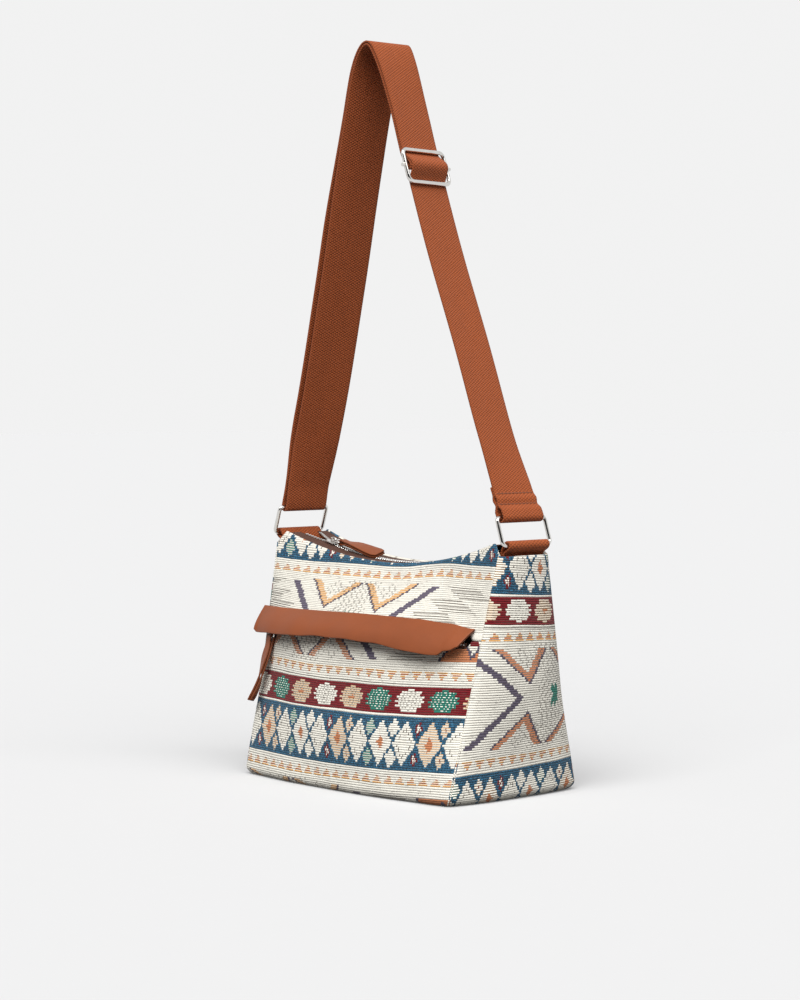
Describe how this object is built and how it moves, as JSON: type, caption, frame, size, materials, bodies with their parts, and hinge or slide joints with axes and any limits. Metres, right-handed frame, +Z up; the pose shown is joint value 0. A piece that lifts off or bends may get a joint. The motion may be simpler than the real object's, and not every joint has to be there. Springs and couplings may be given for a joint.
{
  "type": "crossbody bag",
  "caption": "Small woven jacquard crossbody bag with a top zip, a zipped front pocket under a leather flap, wire rings and an adjustable webbing strap.",
  "frame": {"origin": "centre of the base's underside, on the surface the bag stands on", "axes": "X along the bag's length, the right gusset at +X; the front with its pocket faces -Y; +Z up"},
  "size_m": [0.24, 0.1298, 0.5152],
  "materials": {
    "woven_jacquard": "ribbed woven cloth with a traditional geometric pattern",
    "lining_cloth": "plain weave",
    "leather": "smooth tan, cut edges",
    "webbing": "tightly woven strap webbing",
    "zip_tape": "woven tape",
    "nickel": "bright nickel plate, fine wear"
  },
  "bodies": {
    "bag": {"base_panel": "woven_jacquard", "front_upper_panel": "woven_jacquard", "pocket_panel": "woven_jacquard", "back_panel": "woven_jacquard", "left_gusset": "woven_jacquard", "right_gusset": "woven_jacquard", "lining": "lining_cloth", "pocket_back": "lining_cloth", "placket": "leather", "pocket_zip_tape_upper": "zip_tape", "pocket_zip_tape_lower": "zip_tape", "pocket_zip_teeth_upper": "nickel", "pocket_zip_teeth_lower": "nickel", "top_zip_tape_front": "zip_tape", "top_zip_tape_back": "zip_tape", "top_zip_teeth_front": "nickel", "top_zip_teeth_back": "nickel", "top_zip_end_stop": "nickel", "left_webbing_loop": "webbing", "right_webbing_loop": "webbing"},
    "top_slider": {"top_zip_slider": "nickel"},
    "top_link": {"top_zip_link": "nickel"},
    "top_pull": {"top_zip_pull": "leather"},
    "pocket_slider": {"pocket_zip_slider": "nickel"},
    "pocket_link": {"pocket_zip_link": "nickel"},
    "pocket_pull": {"pocket_zip_pull": "leather"},
    "left_ring": {"left_ring": "nickel"},
    "right_ring": {"right_ring": "nickel"},
    "strap": {"strap": "webbing", "adjuster_frame": "nickel", "adjuster_bar": "nickel"}
  },
  "joints": [
    {"name": "top_zip_travel", "type": "hinge", "parent": "bag", "child": "top_slider", "pos_m": [0, 0, 0.47511], "axis": [0, -1, 0], "range_deg": [0, 21.5]},
    {"name": "top_link_swing", "type": "hinge", "parent": "top_slider", "child": "top_link", "pos_m": [-0.07594, 0, 0.16568], "axis": [0, -1, 0], "range_deg": [0, 115]},
    {"name": "top_pull_swing", "type": "hinge", "parent": "top_link", "child": "top_pull", "pos_m": [-0.06754, 0, 0.16435], "axis": [0, -1, 0], "range_deg": [0, 60]},
    {"name": "pocket_zip_travel", "type": "hinge", "parent": "bag", "child": "pocket_slider", "pos_m": [0, 0.37585, 0.108], "axis": [0, 0, 1], "range_deg": [0, 25.09]},
    {"name": "pocket_link_swing", "type": "hinge", "parent": "pocket_slider", "child": "pocket_link", "pos_m": [-0.09341, -0.0431, 0.10604], "axis": [-0.976, 0.2176, 0], "range_deg": [0, 16]},
    {"name": "pocket_pull_swing", "type": "hinge", "parent": "pocket_link", "child": "pocket_pull", "pos_m": [-0.09386, -0.0451, 0.09779], "axis": [-0.976, 0.2176, 0], "range_deg": [0, 65]},
    {"name": "left_ring_turn", "type": "hinge", "parent": "bag", "child": "left_ring", "pos_m": [-0.1165, 0, 0.1705], "axis": [0, 1, 0], "range_deg": [-15, 15]},
    {"name": "strap_turn", "type": "hinge", "parent": "left_ring", "child": "strap", "pos_m": [-0.1104, 0, 0.1889], "axis": [0, 1, 0], "range_deg": [-16, 16]},
    {"name": "right_ring_turn", "type": "hinge", "parent": "bag", "child": "right_ring", "pos_m": [0.1165, 0, 0.1705], "axis": [0, 1, 0], "range_deg": [-15.2, 15.2]}
  ],
  "couplings": [
    {"joint": "strap_turn", "follows": "left_ring_turn", "ratio": -1.0552},
    {"joint": "right_ring_turn", "follows": "left_ring_turn", "ratio": 1}
  ]
}
